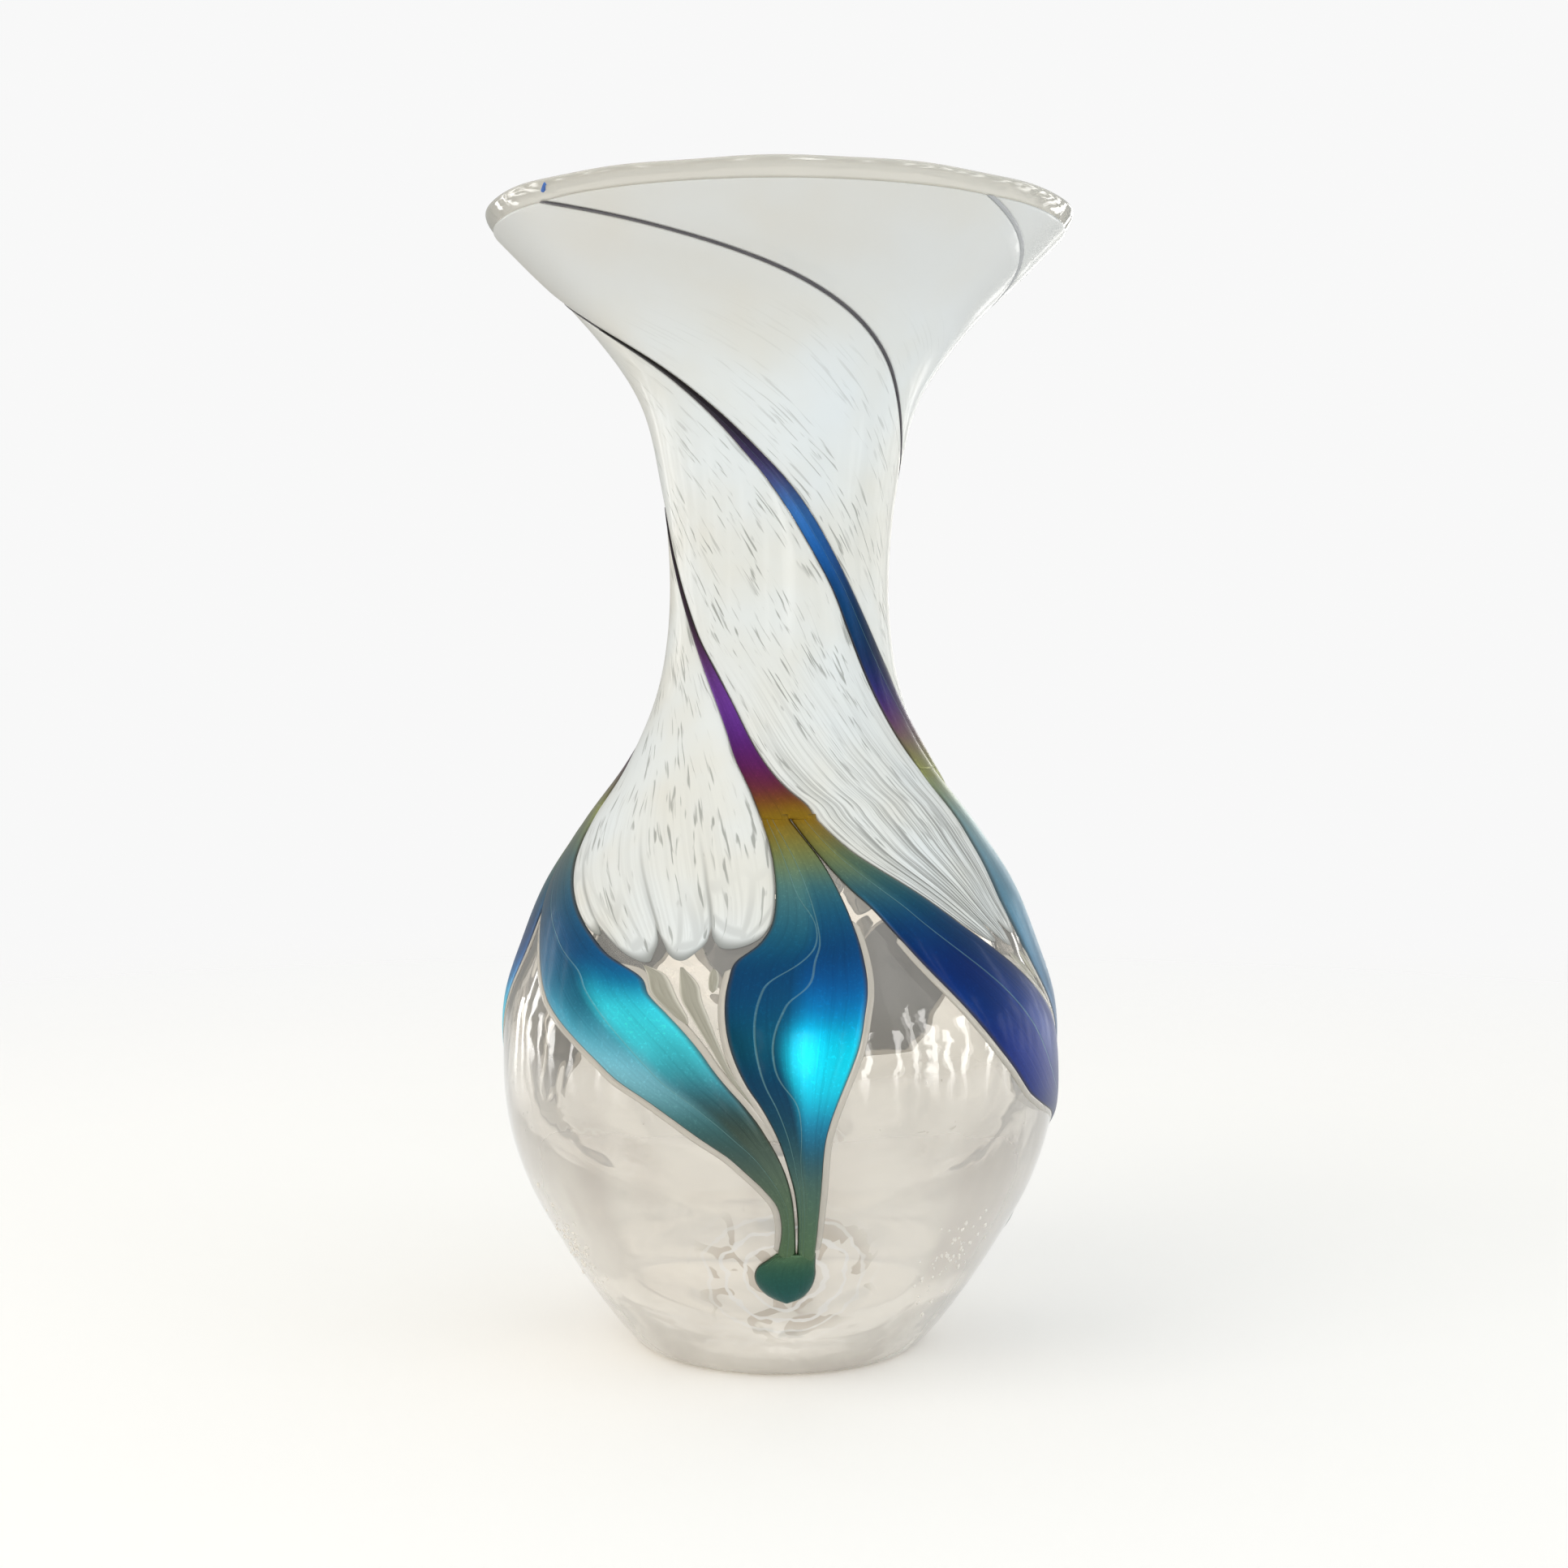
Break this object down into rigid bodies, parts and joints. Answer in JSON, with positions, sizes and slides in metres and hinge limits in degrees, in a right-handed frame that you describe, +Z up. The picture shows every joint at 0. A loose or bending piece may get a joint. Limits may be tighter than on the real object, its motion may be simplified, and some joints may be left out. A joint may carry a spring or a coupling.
{
  "type": "blown glass vase",
  "caption": "Blown glass vase with a clear bulb, narrow neck and wide flared mouth, white panels and iridescent twisted trails.",
  "frame": {"origin": "centre of the foot, on the resting face", "axes": "+Z up along the vase's axis; the front, with a root drop on it, faces -Y; +X is to the right seen from the front"},
  "size_m": [0.1436, 0.1436, 0.275],
  "materials": {
    "clear_glass": "clear hot-worked glass with a faint beige and pearly iridescent skin, fire polished",
    "clear_lip": "clear fire-polished lip",
    "blue_glass": "opaque blue chip",
    "iridescent_teal": "silvered dark teal-green glass, satin iridescent",
    "iridescent_blue": "silvered blue glass, satin iridescent, cyan to navy",
    "iridescent_violet": "silvered glass drawn thin, gold through magenta and violet to blue-black",
    "dark_thread": "nearly black drawn glass",
    "opal_white": "opal white chips melted together, with fine grey streaks",
    "grey_translucent": "translucent grey chips drawn out"
  },
  "bodies": {
    "root": {"inner_gather": "clear_glass", "outer_casing": "clear_glass", "lip_wrap": "clear_lip", "blue_fleck": "blue_glass", "root_drop_1": "iridescent_teal", "root_drop_2": "iridescent_teal", "root_drop_3": "iridescent_teal", "root_drop_4": "iridescent_teal", "slanted_leaf_1": "iridescent_blue", "slanted_leaf_2": "iridescent_blue", "slanted_leaf_3": "iridescent_blue", "slanted_leaf_4": "iridescent_blue", "upright_leaf_1": "iridescent_blue", "upright_leaf_2": "iridescent_blue", "upright_leaf_3": "iridescent_blue", "upright_leaf_4": "iridescent_blue", "tail_1": "iridescent_violet", "tail_2": "iridescent_violet", "tail_3": "iridescent_violet", "tail_4": "iridescent_violet", "thread_1": "dark_thread", "thread_2": "dark_thread", "thread_3": "dark_thread", "thread_4": "dark_thread", "white_panel_1": "opal_white", "white_panel_2": "opal_white", "white_panel_3": "opal_white", "white_panel_4": "opal_white", "grey_fingers_1": "grey_translucent", "grey_fingers_2": "grey_translucent", "grey_fingers_3": "grey_translucent", "grey_fingers_4": "grey_translucent"}
  },
  "joints": []
}
